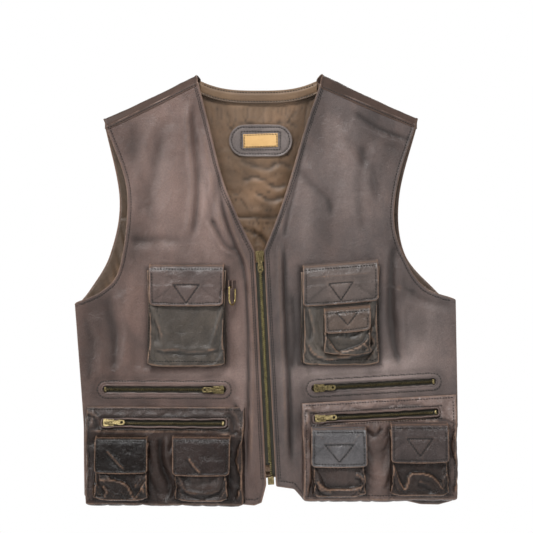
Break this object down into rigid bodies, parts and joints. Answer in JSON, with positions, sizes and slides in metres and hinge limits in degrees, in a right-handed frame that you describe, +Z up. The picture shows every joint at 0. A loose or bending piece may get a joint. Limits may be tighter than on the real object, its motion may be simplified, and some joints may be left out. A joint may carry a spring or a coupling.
{
  "type": "fishing vest",
  "caption": "Leather fishing vest hanging closed, with flap pockets, zipped slit and cargo pockets, a full front zip and a D-ring.",
  "frame": {"origin": "the point between the shoulders where a hanger's neck would pass, 650 mm above the hem", "axes": "+Z up, the front with its pockets faces -Y, +X to the right of someone facing the front"},
  "size_m": [0.5856, 0.0901, 0.658],
  "materials": {
    "leather": "soft grained, slightly glossy, worn at the edges",
    "pocket_leather": "darker grained leather, creased and glossy",
    "flap_leather": "reddish brown grained leather",
    "lining": "smooth woven lining",
    "bag": "plain woven pocket bag",
    "patch": "matt leather patch",
    "label": "woven blank label",
    "zip": "dark olive zip tape with antique brass teeth",
    "brass": "antique brass"
  },
  "bodies": {
    "shell": {"back_panel": "leather", "back_lining": "lining", "back_neck_facing": "leather", "label_patch": "patch", "neck_label": "label", "shoulder_yoke_left": "leather", "shoulder_yoke_right": "leather", "upper_front_left": "leather", "upper_front_right": "leather", "upper_lining_left": "lining", "upper_lining_right": "lining"},
    "front_left": {"front_panel_left": "leather", "front_lining_left": "lining", "main_zip_left": "zip", "slit_zip_left": "zip", "slit_pocket_bag_left": "bag", "chest_pocket_left": "pocket_leather", "ring_tab": "pocket_leather", "cargo_pocket_left": "pocket_leather", "cargo_zip_left": "zip", "small_pocket_a": "pocket_leather", "small_pocket_b": "pocket_leather"},
    "front_right": {"front_panel_right": "leather", "front_lining_right": "lining", "main_zip_right": "zip", "main_zip_box": "brass", "slit_zip_right": "zip", "slit_pocket_bag_right": "bag", "chest_pocket_right": "pocket_leather", "small_chest_pocket": "pocket_leather", "cargo_pocket_right": "pocket_leather", "cargo_zip_right": "zip", "small_pocket_c": "pocket_leather", "small_pocket_d": "pocket_leather"},
    "chest_flap_left": {"chest_flap_left": "flap_leather"},
    "small_flap_a": {"small_flap_a": "flap_leather"},
    "small_flap_b": {"small_flap_b": "flap_leather"},
    "chest_flap_right": {"chest_flap_right": "flap_leather"},
    "small_chest_flap": {"small_chest_flap": "flap_leather"},
    "small_flap_c": {"small_flap_c": "flap_leather"},
    "small_flap_d": {"small_flap_d": "flap_leather"},
    "d_ring": {"d_ring": "brass"},
    "main_zip_slider": {"main_zip_slider": "brass"},
    "main_zip_pull": {"main_zip_pull": "brass"},
    "slit_zip_left_slider": {"slit_zip_left_slider": "brass"},
    "slit_zip_left_pull": {"slit_zip_left_pull": "brass"},
    "slit_zip_right_slider": {"slit_zip_right_slider": "brass"},
    "slit_zip_right_pull": {"slit_zip_right_pull": "brass"},
    "cargo_zip_left_slider": {"cargo_zip_left_slider": "brass"},
    "cargo_zip_left_pull": {"cargo_zip_left_pull": "brass"},
    "cargo_zip_right_slider": {"cargo_zip_right_slider": "brass"},
    "cargo_zip_right_pull": {"cargo_zip_right_pull": "brass"}
  },
  "joints": [
    {"name": "front_left_open", "type": "hinge", "parent": "shell", "child": "front_left", "pos_m": [-0.286, 0, -0.45], "axis": [0, 0, -1], "range_deg": [0, 50]},
    {"name": "front_right_open", "type": "hinge", "parent": "shell", "child": "front_right", "pos_m": [0.29, 0, -0.45], "axis": [0, 0, 1], "range_deg": [0, 50]},
    {"name": "chest_flap_left_lift", "type": "hinge", "parent": "front_left", "child": "chest_flap_left", "pos_m": [-0.11988, -0.022, -0.2805], "axis": [-0.9973, 0.0732, 0], "range_deg": [0, 110]},
    {"name": "small_flap_a_lift", "type": "hinge", "parent": "front_left", "child": "small_flap_a", "pos_m": [-0.21868, -0.02932, -0.54235], "axis": [-0.9973, 0.0732, 0], "range_deg": [0, 90]},
    {"name": "small_flap_b_lift", "type": "hinge", "parent": "front_left", "child": "small_flap_b", "pos_m": [-0.09701, -0.03819, -0.54135], "axis": [-0.9973, 0.0732, 0], "range_deg": [0, 90]},
    {"name": "chest_flap_right_lift", "type": "hinge", "parent": "front_right", "child": "chest_flap_right", "pos_m": [0.1129, -0.02252, -0.2785], "axis": [-0.9941, -0.073, -0.0797], "range_deg": [0, 110]},
    {"name": "small_chest_flap_lift", "type": "hinge", "parent": "front_right", "child": "small_chest_flap", "pos_m": [0.12282, -0.03466, -0.34588], "axis": [-0.9939, -0.0769, -0.0797], "range_deg": [0, 70]},
    {"name": "small_flap_c_lift", "type": "hinge", "parent": "front_right", "child": "small_flap_c", "pos_m": [0.10999, -0.03754, -0.52836], "axis": [-0.9973, -0.0732, 0], "range_deg": [0, 90]},
    {"name": "small_flap_d_lift", "type": "hinge", "parent": "front_right", "child": "small_flap_d", "pos_m": [0.23264, -0.02817, -0.52237], "axis": [-0.9973, -0.0732, 0], "range_deg": [0, 90]},
    {"name": "d_ring_swing", "type": "hinge", "parent": "front_left", "child": "d_ring", "pos_m": [-0.051, -0.0398, -0.316], "axis": [-0.4099, -0.9121, 0], "range_deg": [0, 80]},
    {"name": "main_zip_slider_slide", "type": "slide", "parent": "front_right", "child": "main_zip_slider", "axis": [0.0505, 0.0037, -0.9987], "range_m": [0, 0.326]},
    {"name": "main_zip_pull_turn", "type": "hinge", "parent": "main_zip_slider", "child": "main_zip_pull", "pos_m": [-0.00911, -0.03499, -0.26899], "axis": [-0.996, -0.0731, -0.0506], "range_deg": [0, 165]},
    {"name": "slit_zip_left_slider_slide", "type": "slide", "parent": "front_left", "child": "slit_zip_left_slider", "axis": [-0.9973, 0.0732, 0], "range_m": [0, 0.166]},
    {"name": "slit_zip_left_pull_turn", "type": "hinge", "parent": "slit_zip_left_slider", "child": "slit_zip_left_pull", "pos_m": [-0.07227, -0.02901, -0.472], "axis": [0, 0, 1], "range_deg": [0, 165]},
    {"name": "slit_zip_right_slider_slide", "type": "slide", "parent": "front_right", "child": "slit_zip_right_slider", "axis": [0.9959, 0.0731, 0.0539], "range_m": [0, 0.167]},
    {"name": "slit_zip_right_pull_turn", "type": "hinge", "parent": "slit_zip_right_slider", "child": "slit_zip_right_pull", "pos_m": [0.08137, -0.02834, -0.46953], "axis": [0.0538, 0.0039, -0.9985], "range_deg": [0, 165]},
    {"name": "cargo_zip_left_slider_slide", "type": "slide", "parent": "front_left", "child": "cargo_zip_left_slider", "axis": [0.9973, -0.0732, 0], "range_m": [0, 0.168]},
    {"name": "cargo_zip_left_pull_turn", "type": "hinge", "parent": "cargo_zip_left_slider", "child": "cargo_zip_left_pull", "pos_m": [-0.23956, -0.02685, -0.52158], "axis": [-0.0232, -0.3154, -0.9487], "range_deg": [0, 165]},
    {"name": "cargo_zip_right_slider_slide", "type": "slide", "parent": "front_right", "child": "cargo_zip_right_slider", "axis": [0.9959, 0.0731, 0.0539], "range_m": [0, 0.17]},
    {"name": "cargo_zip_right_pull_turn", "type": "hinge", "parent": "cargo_zip_right_slider", "child": "cargo_zip_right_pull", "pos_m": [0.08303, -0.03835, -0.51449], "axis": [0.0742, -0.3116, -0.9473], "range_deg": [0, 165]}
  ]
}
